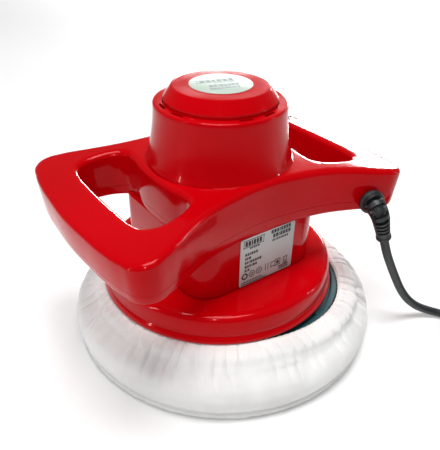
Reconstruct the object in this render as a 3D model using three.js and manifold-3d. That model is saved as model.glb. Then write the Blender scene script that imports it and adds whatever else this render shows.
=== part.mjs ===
// Hand-held orbital polisher: two loop handles on a round motor tower, a round skirt,
// and a foam pad in a cotton bonnet that an eccentric pin swings round under it.
// Millimetres, +Z up. The origin is on the motor axis, on the flat polishing face.
import * as THREE from "three";
import { mergeVertices } from "three/addons/utils/BufferGeometryUtils.js";
import Module from "manifold-3d";

const wasm = await Module();
wasm.setup();

// ---- driving dimensions ----
const GAP = 0.3; // between pieces that touch
const WALL = 2.6; // moulded housing wall
const ROUND = 36; // sides of a large round piece

const BODY = { top: 150, droop: 12.5, bottom: 110.5, reach: 124, split: 0.22 };
const TOWER = { base: 54.7, rim: 48.4, baseZ: 150.4, rimZ: 191.3, mouth: 41.6 };
const CAP = { foot: 41.1, footZ: 193.9, top: 35, topZ: 202.4, badge: 22.6 };
const NECK = { halfX: 58, halfY: 57.3, corner: 21, bottom: 67.5, floor: 1.6 };
const SKIRT = { top: 67.2, shoulder: 92.4, rim: 95, bottom: 45.3, mouth: 16 };
const VENT = { inner: 42.3, outer: 44.4, arc: 15, offAxis: 13 };

const SHAFT = 4; // motor shaft radius
const ECCENTRIC = { x: 4.05, y: -2.95 }; // pad axis off the motor axis: a 10 mm orbit
const PAD = { plate: 97, foam: 119.6, bonnet: 125.2, hem: 98.6, faceThick: 4.3 };

const SWITCH = { x: 105, y: 57, halfX: 6.4, halfY: 12.4, deep: 15, tilt: 9.7, throw: 14 };
const GLAND = { x: 85, y: -78.3, z: 119.5, hole: 5.7 };
const CORD = { radius: 3.5, coilX: 210.5, coilY: -165, turn: 40, coilWide: 10.7, coilTop: 14.4 };
const PLUG = { axisZ: 21.8, halfWide: 17.6, halfThick: 7, long: 34, pin: 2, pinGap: 9.3 };

const HANDLE_SCREW = { x: 98, y: 66, seat: 116 };
const LEAD = 1.3;
const CLAMP = { x: 72, y: -62.3, apart: 4.2 };
const BRACKET = { x: 40, y: 36, z: 80, thick: 3 };
const SKIRT_SCREW_R = 46;

// ---- materials ----
const paint = (color, roughness, metalness = 0) =>
  new THREE.MeshStandardMaterial({ color, roughness, metalness });
const MATERIAL = {
  redShell: paint(0xc3101f, 0.22),
  label: paint(0xbfc6c2, 0.4),
  badge: paint(0xdde5e0, 0.45),
  black: paint(0x15181b, 0.5),
  rubber: paint(0x1b2226, 0.65),
  slate: paint(0x2f4347, 0.6),
  foam: paint(0x39484b, 0.95),
  cotton: paint(0xf1f1ef, 0.95),
  steel: paint(0x9a9ea2, 0.35, 1),
  zinc: paint(0xb9bcc0, 0.3, 1),
  iron: paint(0x4c5054, 0.55, 1),
  copper: paint(0xa4562c, 0.4, 1),
  brass: paint(0xb08d3c, 0.35, 1),
  magnet: paint(0x2a2b2d, 0.7),
  board: paint(0x1d5a3a, 0.5),
  carbon: paint(0x1c1c1e, 0.8),
};

// ---- shape tools ----
const polisher = new THREE.Group();

function piece(name, shape, material, parent = polisher) {
  const geometry = shape.isBufferGeometry ? shape : toGeometry(shape);
  const mesh = new THREE.Mesh(geometry, material);
  mesh.name = name;
  parent.add(mesh);
  return mesh;
}

function toSolid(geometry) {
  const bare = geometry.index ? geometry.toNonIndexed() : geometry.clone();
  bare.deleteAttribute("normal");
  bare.deleteAttribute("uv");
  const merged = mergeVertices(bare, 1e-4);
  return new wasm.Manifold(
    new wasm.Mesh({
      numProp: 3,
      vertProperties: new Float32Array(merged.attributes.position.array),
      triVerts: new Uint32Array(merged.index.array),
    }),
  );
}

function toGeometry(solid) {
  const mesh = solid.getMesh();
  const geometry = new THREE.BufferGeometry();
  geometry.setAttribute("position", new THREE.BufferAttribute(new Float32Array(mesh.vertProperties), 3));
  geometry.setIndex(new THREE.BufferAttribute(new Uint32Array(mesh.triVerts), 1));
  geometry.computeVertexNormals();
  return geometry;
}

const joined = (...shapes) => shapes.map(toSolid).reduce((whole, part) => whole.add(part));
const cut = (solid, ...shapes) => shapes.reduce((rest, shape) => rest.subtract(toSolid(shape)), solid);

// [radius, height] pairs turned about Z. A profile that leaves the axis closes on itself.
function turned(profile, sides = ROUND, start = 0, sweep = 2 * Math.PI) {
  const points = profile.map(([r, z]) => new THREE.Vector2(r, z));
  const onAxis = profile[0][0] === 0 && profile.at(-1)[0] === 0;
  if (!onAxis) points.push(points[0].clone());
  if (THREE.ShapeUtils.area(points) < 0) points.reverse();
  return new THREE.LatheGeometry(points, sides, start, sweep).rotateX(Math.PI / 2);
}

const disc = (radius, low, high, sides = ROUND) =>
  turned([[0, low], [radius, low], [radius, high], [0, high]], sides);
const ring = (inner, outer, low, high, sides = ROUND) =>
  turned([[inner, low], [outer, low], [outer, high], [inner, high]], sides);
const block = (x, y, z, low) => new THREE.BoxGeometry(x, y, z).translate(0, 0, low + z / 2);

// An outline in plan raised from one height to another, with rounded edges if asked.
function raised(outline, low, high, { holes = [], bevel = 0, bevelSegments = 2 } = {}) {
  const shape = new THREE.Shape(outline);
  shape.holes = holes.map((hole) => new THREE.Path(hole));
  return new THREE.ExtrudeGeometry(shape, {
    depth: high - low - 2 * bevel,
    bevelEnabled: bevel > 0,
    bevelThickness: bevel,
    bevelSize: bevel,
    bevelOffset: -bevel,
    bevelSegments,
    curveSegments: 12,
  }).translate(0, 0, low + bevel);
}

// A smooth closed loop through points in the plan.
function loopThrough(points, count) {
  const curve = new THREE.CatmullRomCurve3(
    points.map(([x, y]) => new THREE.Vector3(x, y, 0)),
    true,
    "centripetal",
  );
  const loop = curve.getSpacedPoints(count).slice(0, count).map((p) => new THREE.Vector2(p.x, p.y));
  return THREE.ShapeUtils.area(loop) < 0 ? loop.reverse() : loop;
}

// The loop moved outwards by a distance, or inwards where that is negative.
function offsetLoop(loop, distance) {
  const turn = Math.sign(THREE.ShapeUtils.area(loop));
  return loop.map((point, i) => {
    const along = loop[(i + 1) % loop.length].clone().sub(loop.at(i - 1)).normalize();
    return new THREE.Vector2(point.x + along.y * distance * turn, point.y - along.x * distance * turn);
  });
}

function roundedRectangle(halfX, halfY, corner) {
  const shape = new THREE.Shape();
  const centres = [[1, 1, 0], [-1, 1, 1], [-1, -1, 2], [1, -1, 3]];
  for (const [sideX, sideY, quarter] of centres) {
    const from = (quarter * Math.PI) / 2;
    shape.absarc(sideX * (halfX - corner), sideY * (halfY - corner), corner, from, from + Math.PI / 2, false);
  }
  return shape.getPoints(6).slice(0, -1);
}

const moved = (geometry, x, y, z = 0) => geometry.translate(x, y, z);

// A turned piece whose axis follows a curve instead of Z.
function bentAlong(geometry, curve, length) {
  const position = geometry.attributes.position;
  const up = new THREE.Vector3(1, 0, 0);
  for (let i = 0; i < position.count; i++) {
    const at = Math.min(Math.max(position.getZ(i) / length, 0), 1);
    const tangent = curve.getTangentAt(at);
    const side = up.clone().addScaledVector(tangent, -up.dot(tangent)).normalize();
    const other = new THREE.Vector3().crossVectors(tangent, side);
    const point = curve.getPointAt(at);
    point.addScaledVector(side, position.getX(i)).addScaledVector(other, position.getY(i));
    position.setXYZ(i, point.x, point.y, point.z);
  }
  return geometry;
}

function tube(points, radius, { sides = 8, steps = 60 } = {}) {
  const section = new THREE.Shape();
  section.absarc(0, 0, radius, 0, 2 * Math.PI);
  const outline = new THREE.Shape(section.getSpacedPoints(sides).slice(0, -1));
  const extrudePath = new THREE.CatmullRomCurve3(points.map((p) => new THREE.Vector3(...p)));
  return new THREE.ExtrudeGeometry(outline, { steps, extrudePath, bevelEnabled: false });
}

const mirrored = (quarter) => [
  ...quarter,
  ...quarter.slice(0, -1).reverse().map(([x, y]) => [x, -y]),
  ...quarter.slice(1).map(([x, y]) => [-x, -y]),
  ...quarter.slice(1, -1).reverse().map(([x, y]) => [-x, y]),
];

// ---- housing outlines ----
const bodyQuarter = [
  [0, 58.5], [28, 60.8], [52, 65], [74, 73], [92, 81], [106, 84],
  [115, 79], [119.5, 67], [122.5, 51], [124.5, 28], [125.8, 0],
];
const openingHalf = [
  [59, 0], [58, 20], [55.5, 36], [56.5, 45], [63, 50],
  [74, 53.2], [85, 53.4], [92, 49.5], [95.5, 40], [96.7, 22], [97.2, 0],
];
const bodyLoop = loopThrough(mirrored(bodyQuarter), 52);
const openingLoop = (side) =>
  loopThrough(
    [...openingHalf, ...openingHalf.slice(1, -1).reverse().map(([x, y]) => [x, -y])].map(
      ([x, y]) => [side * x, y],
    ),
    22,
  );
const openings = [openingLoop(1), openingLoop(-1)];

const bodyTopZ = (x) => BODY.top - BODY.droop * (x / BODY.reach) ** 2;

const bodyHigh = BODY.top - BODY.bottom;
const stripEdges = [-150, -92, -58, -22, 22, 58, 92, 150];

// A slab of the body between two heights, bent strip by strip to the drooping handles.
function bodySlab(low, high, inset, { bevel = 0, bevelSegments = 2 } = {}) {
  const holes = openings.map((loop) => offsetLoop(loop, inset));
  const slab = toSolid(raised(offsetLoop(bodyLoop, -inset), low, high, { holes, bevel, bevelSegments }));
  const strips = stripEdges.slice(1).map((right, i) => {
    const left = stripEdges[i];
    const window = moved(block(right - left, 400, 400, -200), (left + right) / 2, 0);
    const strip = toGeometry(slab.intersect(toSolid(window)));
    const position = strip.attributes.position;
    for (let v = 0; v < position.count; v++) {
      const x = position.getX(v);
      const share = position.getZ(v) / bodyHigh;
      position.setZ(v, BODY.bottom + share * (bodyTopZ(x) - BODY.bottom));
    }
    return toSolid(strip);
  });
  return toGeometry(strips.reduce((whole, strip) => whole.add(strip)));
}

const splitAt = BODY.split * bodyHigh;
const quarterTurns = [0, 1, 2, 3];
const clampScrewY = [CLAMP.y - CLAMP.apart, CLAMP.y + CLAMP.apart];
const corners = [[1, 1], [-1, 1], [-1, -1], [1, -1]];

// The cord's way out of the housing: through the wall, then down in a bend.
const glandOut = new THREE.Vector3(-0.38, -0.925, 0).normalize();
const glandSeat = new THREE.Vector3(GLAND.x, GLAND.y, GLAND.z);
const glandPath = new THREE.CatmullRomCurve3([
  [87.7, -71.8, 119.5], [85, -78.3, 119.5], [83.5, -82, 119.5], [82.6, -84, 119.5],
  [81.9, -86.3, 119.2], [81.3, -88.4, 118.3], [81.2, -90.4, 116.8], [81.3, -91.9, 115],
  [81.8, -92.9, 112.8], [82.6, -93.3, 110.6], [86.5, -93.6, 100.9], [90.4, -94, 91.2],
].map((point) => new THREE.Vector3(...point)), false, "centripetal");

function glandHole() {
  const hole = new THREE.CylinderGeometry(GLAND.hole, GLAND.hole, 16, 24);
  hole.applyQuaternion(new THREE.Quaternion().setFromUnitVectors(new THREE.Vector3(0, 1, 0), glandOut));
  return hole.translate(glandSeat.x, glandSeat.y, glandSeat.z);
}

// ---- switch, in a group tilted to the handle's slope ----
const switchGroup = new THREE.Group();
switchGroup.position.set(SWITCH.x, SWITCH.y, bodyTopZ(SWITCH.x));
switchGroup.rotation.y = THREE.MathUtils.degToRad(SWITCH.tilt);
polisher.add(switchGroup);
switchGroup.updateMatrix();

function upperHousing() {
  const slab = cut(
    toSolid(bodySlab(0, bodyHigh, 0, { bevel: 5 })),
    bodySlab(-20, splitAt, -12),
  );
  const rise = TOWER.rimZ - TOWER.baseZ;
  const flare = (z) => TOWER.rim + (TOWER.base - TOWER.rim) * ((TOWER.rimZ - z) / rise) ** 2;
  const side = [-1.5, 3, 11, 22, 38.5].map((up) => TOWER.baseZ + up).map((z) => [flare(z), z]);
  const tower = [
    [0, TOWER.baseZ - 1.5],
    ...side,
    [TOWER.rim - 0.6, TOWER.rimZ - 0.6],
    [TOWER.rim - 2, TOWER.rimZ],
    [0, TOWER.rimZ],
  ];
  const bore = [
    [0, TOWER.baseZ - 6],
    ...side.map(([r, z]) => [r - WALL, z]).map(([r, z], i) => [r, i ? z : TOWER.baseZ - 6]),
    [TOWER.rim - WALL, TOWER.rimZ - WALL],
    [TOWER.mouth, TOWER.rimZ - WALL],
    [TOWER.mouth, TOWER.rimZ + 5],
    [0, TOWER.rimZ + 5],
  ];
  let shell = slab.add(toSolid(turned(tower)));
  shell = cut(shell, bodySlab(-20, bodyHigh - WALL, WALL), turned(bore));
  // Four pairs of air slots round the ledge.
  for (const quarter of quarterTurns) {
    for (const side of [-1, 1]) {
      const middle = 90 * quarter + side * VENT.offAxis;
      const from = THREE.MathUtils.degToRad(middle - VENT.arc / 2);
      const slot = new THREE.Shape();
      slot.absarc(0, 0, VENT.outer, from, from + THREE.MathUtils.degToRad(VENT.arc), false);
      slot.absarc(0, 0, VENT.inner, from + THREE.MathUtils.degToRad(VENT.arc), from, true);
      const cutter = new THREE.ExtrudeGeometry(slot, { depth: 8, bevelEnabled: false, curveSegments: 4 });
      shell = cut(shell, cutter.translate(0, 0, TOWER.rimZ - 5));
    }
  }
  // A screw boss in each corner of the handles.
  for (const [sideX, sideY] of corners) {
    const x = sideX * HANDLE_SCREW.x;
    const y = sideY * HANDLE_SCREW.y;
    shell = shell.add(toSolid(moved(disc(5, 119.4, 140.4, 12), x, y)));
    shell = cut(shell, moved(disc(2.3, 110, 128, 8), x, y));
  }
  const pocket = block(2 * SWITCH.halfX + 0.6, 2 * SWITCH.halfY + 0.6, 30, -20);
  return cut(shell, pocket.applyMatrix4(switchGroup.matrix), glandHole());
}

function lowerHousing() {
  const tray = cut(
    toSolid(bodySlab(0, splitAt + 8, 0, { bevel: 1.2, bevelSegments: 1 })),
    bodySlab(splitAt - GAP, splitAt + 30, -12),
  );
  const neckLoop = roundedRectangle(NECK.halfX, NECK.halfY, NECK.corner);
  const neckHollow = roundedRectangle(NECK.halfX - WALL, NECK.halfY - WALL, NECK.corner - WALL);
  let shell = tray.add(toSolid(raised(neckLoop, NECK.bottom, BODY.bottom + 1.5)));
  shell = cut(
    shell,
    bodySlab(WALL, bodyHigh, WALL),
    raised(neckHollow, NECK.bottom + NECK.floor, BODY.bottom),
    raised(roundedRectangle(51, 50, 16), BODY.bottom - 1, BODY.bottom + WALL + 1),
    disc(10, NECK.bottom - 1, NECK.bottom + NECK.floor + 1, 24),
  );
  const posts = corners.map(([sideX, sideY]) => [sideX * BRACKET.x, sideY * BRACKET.y, 5, BRACKET.z - GAP]);
  const screwPosts = [30, 150, 270].map((degrees) => {
    const turn = THREE.MathUtils.degToRad(degrees);
    return [SKIRT_SCREW_R * Math.cos(turn), SKIRT_SCREW_R * Math.sin(turn), 4.6, 77.5];
  });
  for (const [x, y, radius, top] of [...posts, ...screwPosts]) {
    shell = shell.add(toSolid(moved(disc(radius, NECK.bottom + 1, top, 12), x, y)));
  }
  for (const [x, y] of posts) shell = cut(shell, moved(disc(2.3, 70.5, 82, 8), x, y));
  for (const [x, y] of screwPosts) shell = cut(shell, moved(disc(2.3, 64, 75.8, 8), x, y));
  for (const [sideX, sideY] of corners) {
    const x = sideX * HANDLE_SCREW.x;
    const y = sideY * HANDLE_SCREW.y;
    shell = shell.add(toSolid(moved(disc(6.2, 111, 119, 14), x, y)));
    shell = cut(
      shell,
      moved(disc(2.3, 105, 124, 8), x, y),
      moved(disc(4.4, 105, HANDLE_SCREW.seat, 12), x, y),
    );
  }
  for (const y of clampScrewY) {
    shell = shell.add(toSolid(moved(disc(2.2, 111, 118, 10), CLAMP.x, y)));
    shell = cut(shell, moved(disc(1.5, 112.6, 120, 8), CLAMP.x, y));
  }
  return cut(shell, glandHole());
}

// A pan-head screw standing on its head, with its seat at height 0.
const screw = (headR, headHigh, shankR, length) =>
  turned([
    [0, -headHigh], [headR * 0.6, -headHigh], [headR, -headHigh * 0.45], [headR, 0],
    [shankR, 0], [shankR, length - 1], [shankR * 0.4, length], [0, length],
  ], 8);

// ---- housing ----
piece("upper_housing", upperHousing(), MATERIAL.redShell);
piece("lower_housing", lowerHousing(), MATERIAL.redShell);

const skirtScrews = [30, 150, 270].map((degrees) => {
  const turn = THREE.MathUtils.degToRad(degrees);
  return [SKIRT_SCREW_R * Math.cos(turn), SKIRT_SCREW_R * Math.sin(turn)];
});

function skirt() {
  const shell = toSolid(turned([
    [SKIRT.mouth, 64.6], [80, 64.2], [86.4, 63.2], [89, 60.6], [89.8, 56], [90.9, 50.5],
    [92.4, SKIRT.bottom], [SKIRT.rim, SKIRT.bottom], [SKIRT.rim, 47.4], [93.8, 50.2],
    [92.7, 51.1], [93, 52.2], [SKIRT.shoulder, 60.5], [91.5, 64.2], [89.4, 66.2], [85, 67],
    [SKIRT.mouth, SKIRT.top],
  ], 40));
  return cut(shell, ...skirtScrews.map(([x, y]) => moved(disc(2.3, 61, 70, 12), x, y)));
}
piece("skirt", skirt(), MATERIAL.redShell);
skirtScrews.forEach(([x, y], i) => {
  piece("skirt_screw_" + (i + 1), moved(screw(3.6, 2.6, 2, 11), x, y, 64.1), MATERIAL.zinc);
});

// The cap's foot drops into the mouth of the tower.
piece("top_cap", turned([
  [0, CAP.topZ - WALL], [CAP.top - 1.5, CAP.topZ - WALL], [CAP.foot - WALL, CAP.footZ - 0.5],
  [CAP.foot - WALL, 186], [CAP.foot, 186], [CAP.foot, CAP.footZ],
  [CAP.top + 0.5, CAP.topZ - 0.7], [CAP.top - 0.6, CAP.topZ], [0, CAP.topZ],
]), MATERIAL.redShell);
piece("top_badge", disc(CAP.badge, CAP.topZ + 0.05, CAP.topZ + 0.4), MATERIAL.badge);

function ratingPlate() {
  const halfWide = 25.4;
  const outline = new THREE.Shape([
    new THREE.Vector2(-halfWide, 68.4), new THREE.Vector2(halfWide, 68.4),
    new THREE.Vector2(halfWide, 110), new THREE.Vector2(-halfWide, 110),
  ]);
  const plate = new THREE.ExtrudeGeometry(outline, { depth: 0.5, bevelEnabled: false });
  return plate.rotateX(Math.PI / 2).translate(3.5, -NECK.halfY - 0.1, 0);
}
piece("rating_plate", ratingPlate(), MATERIAL.label);

corners.forEach(([sideX, sideY], i) => {
  const at = [sideX * HANDLE_SCREW.x, sideY * HANDLE_SCREW.y, HANDLE_SCREW.seat - GAP];
  piece("handle_screw_" + (i + 1), moved(screw(3.8, 2.8, 2, 10), ...at), MATERIAL.zinc);
});

// ---- switch ----
function switchBody() {
  const { halfX, halfY, deep } = SWITCH;
  const body = joined(
    block(2 * halfX, 2 * halfY, deep, -deep + 0.6),
    block(2 * halfX + 2.4, 2 * halfY + 2.4, 1.4, 0.6),
    moved(block(0.9, 5, 6, -deep - 5), 0, -6),
    moved(block(0.9, 5, 6, -deep - 5), 0, 6),
  );
  return cut(body, block(2 * halfX - 2, 2 * halfY - 2.6, 12, -7.6));
}
piece("switch_body", switchBody(), MATERIAL.black, switchGroup);

// The rocker's ends are arcs about its pivot, so that they swing clear of the frame.
function rocker() {
  const { halfX, halfY } = SWITCH;
  const long = halfY - 1.9;
  const lift = 3.4;
  const side = new THREE.Shape();
  side.absarc(0, 0, long, THREE.MathUtils.degToRad(-18), Math.asin(lift / long), false);
  side.lineTo(0, 2);
  side.absarc(0, 0, long, Math.PI - Math.asin(lift / long), THREE.MathUtils.degToRad(198), false);
  const width = 2 * halfX - 3;
  return new THREE.ExtrudeGeometry(side, { depth: width, bevelEnabled: false, curveSegments: 4 })
    .translate(0, 0, -width / 2)
    .rotateX(Math.PI / 2)
    .rotateZ(Math.PI / 2)
    .rotateX(THREE.MathUtils.degToRad(-SWITCH.throw / 2));
}
piece("switch_rocker", rocker(), MATERIAL.black, switchGroup);

// ---- motor ----
function motorBracket() {
  const plate = raised(roundedRectangle(48, 44, 12), BRACKET.z, BRACKET.z + BRACKET.thick);
  const boss = disc(15, 74, BRACKET.z + 1, 24);
  const bracket = cut(
    joined(plate, boss),
    disc(11.3, 76, BRACKET.z + 5, 24),
    disc(7, 70, 78, 24),
    ...corners.map(([sideX, sideY]) => moved(disc(2.3, 76, 86, 12), sideX * BRACKET.x, sideY * BRACKET.y)),
  );
  return cut(bracket, ...quarterTurns.map((turn) => {
    const slot = new THREE.Shape();
    slot.absarc(0, 0, 25, 0.4, 1.17, false);
    slot.absarc(0, 0, 18, 1.17, 0.4, true);
    const cutter = new THREE.ExtrudeGeometry(slot, { depth: 9, bevelEnabled: false, curveSegments: 4 });
    return cutter.rotateZ((turn * Math.PI) / 2).translate(0, 0, BRACKET.z - 3);
  }));
}
piece("motor_bracket", motorBracket(), MATERIAL.black);
corners.forEach(([sideX, sideY], i) => {
  const upsideDown = screw(3.6, 2.6, 2, 12).rotateX(Math.PI);
  const at = [sideX * BRACKET.x, sideY * BRACKET.y, BRACKET.z + BRACKET.thick + GAP];
  piece("bracket_screw_" + (i + 1), moved(upsideDown, ...at), MATERIAL.zinc);
});

piece("motor_can", ring(27, 29, 83.3, 154), MATERIAL.zinc);
const magnetArc = THREE.MathUtils.degToRad(120);
for (const [name, middle] of [["magnet_front", 1.5 * Math.PI], ["magnet_rear", 0.5 * Math.PI]]) {
  const arc = new THREE.Shape();
  arc.absarc(0, 0, 26.7, middle - magnetArc / 2, middle + magnetArc / 2, false);
  arc.absarc(0, 0, 23, middle + magnetArc / 2, middle - magnetArc / 2, true);
  const bar = new THREE.ExtrudeGeometry(arc, { depth: 46, bevelEnabled: false, curveSegments: 10 });
  piece(name, bar.translate(0, 0, 92), MATERIAL.magnet);
}

// The top end cap carries the upper bearing, and the brush holders hang under it.
function motorEndCap() {
  const cap = joined(
    disc(29, 154.3, 157.3),
    disc(14, 157, 166, 24),
    moved(block(12, 12, 4, 150.8), 17.5, 0),
    moved(block(12, 12, 4, 150.8), -17.5, 0),
  );
  return cut(cap, disc(9.8, 158, 170, 24), disc(5, 150, 160, 24));
}
piece("motor_end_cap", motorEndCap(), MATERIAL.black);

// Brushes slide in brass boxes towards the commutator, each pushed by a spring.
const brush = { inner: 9.4, long: 9, halfY: 3, low: 144.5, high: 149.5 };
for (const [side, facing] of [["left", -1], ["right", 1]]) {
  const wide = 2 * brush.halfY;
  const high = brush.high - brush.low;
  const holder = cut(
    toSolid(moved(block(14, wide + 2, high + 2, brush.low - 1), facing * 18, 0)),
    moved(block(20, wide + 0.6, high + 0.6, brush.low - 0.3), facing * 17, 0),
  );
  piece("brush_holder_" + side, holder, MATERIAL.brass);
  const middle = facing * (brush.inner + brush.long / 2);
  piece("brush_" + side, moved(block(brush.long, wide, high, brush.low), middle, 0), MATERIAL.carbon);
  const turns = 4;
  const coils = Array.from({ length: turns * 8 + 1 }, (_, i) => {
    const angle = (i * Math.PI) / 4;
    const x = facing * (brush.inner + brush.long + 0.8 + (5 * i) / (turns * 8));
    return [x, 1.8 * Math.cos(angle), (brush.low + brush.high) / 2 + 1.8 * Math.sin(angle)];
  });
  piece("brush_spring_" + side, tube(coils, 0.3, { sides: 4, steps: turns * 8 }), MATERIAL.steel);
}

piece("lower_bearing", ring(SHAFT + 0.05, 11, 76.1, 83, 24), MATERIAL.steel);
piece("upper_bearing", ring(3.05, 9.5, 158.3, 164.2, 24), MATERIAL.steel);

// A rectifier board stands beside the motor.
function rectifierBoard() {
  return joined(block(1.6, 26, 22, 96), moved(block(5, 15, 12, 101), 3, 0), moved(block(4, 6, 5, 97), 2.5, 9));
}
piece("rectifier_board", moved(rectifierBoard(), 42, 0), MATERIAL.board);

// ---- cord entry and leads inside ----
piece("strain_relief", strainRelief(), MATERIAL.rubber);
function strainRelief() {
  const length = glandPath.getLength();
  const ribs = [];
  const firstRib = 15.5;
  const pitch = 4.1;
  const ribCount = 6;
  for (let i = 0; i < ribCount; i++) {
    const s = firstRib + i * pitch;
    const radius = 7.7 - 0.32 * i;
    ribs.push([radius, s], [radius - 1.3, s + 0.2], [radius - 1.4, s + 1.6], [radius - 0.2, s + 1.8]);
  }
  const profile = [
    [0, 0], [6.1, 0], [6.1, 2.2], [GLAND.hole - 0.5, 2.6], [GLAND.hole - 0.5, 8.7], [9.8, 9],
    [9.8, 12.2], [8, 13.4], ...ribs, [5.9, length - 1.4], [5.2, length], [0, length],
  ];
  return bentAlong(turned(profile, 14), glandPath, length);
}

// The cord is held by a bar screwed over it to two posts in the arm, then runs to the rectifier.
piece("cord_clamp", cut(
  toSolid(moved(block(5.6, 11.6, 2.6, 118.3), CLAMP.x, CLAMP.y)),
  ...clampScrewY.map((y) => moved(disc(1.5, 115, 125, 8), CLAMP.x, y)),
), MATERIAL.black);
clampScrewY.forEach((y, i) => {
  const upsideDown = screw(2.1, 1.8, 1.2, 8).rotateX(Math.PI);
  piece("clamp_screw_" + (i + 1), moved(upsideDown, CLAMP.x, y, 121.2), MATERIAL.zinc);
});
piece("mains_lead", tube([
  [88.4, -70.3, 119.4], [86.8, -67, 119], [80.5, -64.8, 117.6], [72, -62.3, 116.6], [62, -58, 117],
  [51, -52.6, 117.5], [44.5, -42, 116], [45, -28, 110], [46.6, -15.2, 105],
], LEAD, { sides: 6, steps: 20 }), MATERIAL.rubber);
piece("switch_lead", tube([
  [46.6, 15.2, 107], [45, 30, 112], [45.5, 44, 116], [53, 54.6, 118], [64, 59, 118.6],
  [79, 62.2, 118.6], [92.6, 58.8, 118.6], [102.4, 55.6, 119],
], LEAD, { sides: 6, steps: 20 }), MATERIAL.rubber);

// ---- rotor ----
piece("motor_shaft", turned([
  [0, 50], [SHAFT, 50], [SHAFT, 157], [3, 157.3], [3, 166], [0, 166],
], 16), MATERIAL.steel);

function star(sides, tipR, rootR, bore, toothShare) {
  const outline = [];
  for (let i = 0; i < sides; i++) {
    const middle = (i * 2 * Math.PI) / sides;
    const half = (Math.PI / sides) * toothShare;
    for (const angle of [middle - half, middle, middle + half]) outline.push([tipR, angle]);
    const gap = Math.PI / sides - half;
    for (const angle of [middle + half + gap * 0.3, middle + half + gap * 1.7]) outline.push([rootR, angle]);
  }
  const shape = new THREE.Shape(outline.map(([r, a]) => new THREE.Vector2(r * Math.cos(a), r * Math.sin(a))));
  const hole = new THREE.Path();
  hole.absarc(0, 0, bore, 0, 2 * Math.PI);
  shape.holes = [hole];
  return shape;
}
const slots = 10;
const core = new THREE.ExtrudeGeometry(star(slots, 22.2, 12, SHAFT + GAP, 0.72), {
  depth: 38, bevelEnabled: false, curveSegments: 8,
}).translate(0, 0, 96);
piece("armature_core", core, MATERIAL.iron);

// The copper fills the slots and bulges out of both ends of the core.
function windings() {
  const heads = [[89.5, 95.7], [134.3, 139.5]].map(([low, high]) =>
    turned([[5, low + 1.5], [8, low], [17, low], [20, low + 2], [20, high - 1.5], [17, high], [5, high]], 20));
  const bars = Array.from({ length: slots }, (_, i) => {
    const bar = moved(block(5, 1.5, 41, 94.5), 18, 0);
    return bar.rotateZ(((i + 0.5) * 2 * Math.PI) / slots);
  });
  return joined(...heads, ...bars);
}
piece("windings", windings(), MATERIAL.copper);
const commutator = new THREE.ExtrudeGeometry(star(slots, 9, 8.4, SHAFT + GAP, 0.86), {
  depth: 11, bevelEnabled: false, curveSegments: 8,
}).translate(0, 0, 141);
piece("commutator", commutator, MATERIAL.copper);

function coolingFan() {
  const blades = Array.from({ length: 9 }, (_, i) =>
    moved(block(20, 1.4, 5.3, 70.7), 26.3, 0).rotateZ((i * 2 * Math.PI) / 9));
  return joined(ring(SHAFT + GAP, 9, 69.5, 73.4, 24), ring(8, 37, 69.5, 70.9, 36), ...blades);
}
piece("cooling_fan", coolingFan(), MATERIAL.black);

// The counterweight carries the eccentric pin and balances the pad.
function counterweight() {
  const sector = new THREE.Shape();
  const away = Math.atan2(-ECCENTRIC.y, -ECCENTRIC.x);
  sector.absarc(0, 0, 38, away - 1.2, away + 1.2, false);
  sector.absarc(0, 0, 7, away + 1.2, away - 1.2, true);
  const weight = new THREE.ExtrudeGeometry(sector, { depth: 8, bevelEnabled: false, curveSegments: 12 });
  const { x, y } = ECCENTRIC;
  const whole = joined(
    disc(11, 48.6, 59.6, 24),
    weight.translate(0, 0, 49.4),
    moved(disc(3.9, 38.6, 49, 16), x, y),
  );
  return cut(whole, disc(SHAFT + GAP, 49.7, 62, 16), moved(disc(2.3, 36, 47.5, 12), x, y));
}
piece("counterweight", counterweight(), MATERIAL.iron);
piece("retaining_screw", moved(screw(6.4, 1.8, 2, 8.5), ECCENTRIC.x, ECCENTRIC.y, 38.3), MATERIAL.zinc);

// ---- pad, about the eccentric axis ----
const pad = new THREE.Group();
pad.position.set(ECCENTRIC.x, ECCENTRIC.y, 0);
polisher.add(pad);
piece("pad_bearing", ring(3.95, 11, 38.8, 45.6, 24), MATERIAL.steel, pad);

function backingPlate() {
  const web = turned([
    [8, 36], [PAD.plate, 36], [PAD.plate, 42.6], [94.5, 43], [92, 42.2], [91, 39.4], [17, 39.4],
    [17, 46.4], [11.3, 46.4], [11.3, 38.5], [8, 38.5],
  ]);
  const ribs = Array.from({ length: 8 }, (_, i) =>
    moved(block(76, 2.4, 3.2, 38.6), 54.2, 0).rotateZ(((i + 0.37) * Math.PI) / 4));
  return joined(web, ...ribs);
}
piece("backing_plate", backingPlate(), MATERIAL.slate, pad);
piece("foam_pad", turned([
  [0, PAD.faceThick + 0.7], [118, PAD.faceThick + 0.7], [PAD.foam, 12], [118.4, 22], [112, 32.6],
  [104, 39.6], [99, 41.6], [97.4, 41.4], [97.4, 35.7], [0, 35.7],
]), MATERIAL.foam, pad);
piece("bonnet", turned([
  [119, PAD.faceThick + GAP], [120.3, 12], [119.1, 22.6], [112.6, 33.5], [104.4, 40.6], [99, 42.3],
  [PAD.hem, 44.2], [100.5, 44.7], [106.4, 43.2], [115.4, 36.4], [122.6, 25.4],
  [PAD.bonnet, 16.5], [124.4, 8], [123.4, PAD.faceThick + GAP],
]), MATERIAL.cotton, pad);
piece("bonnet_face", turned([
  [0, 0], [119.5, 0], [122.8, 1.2], [123.8, PAD.faceThick], [0, PAD.faceThick],
]), MATERIAL.cotton, pad);
const elastic = new THREE.TorusGeometry(97.3, 0.8, 5, ROUND).translate(0, 0, 43.9);
piece("bonnet_elastic", elastic, MATERIAL.cotton, pad);

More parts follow.
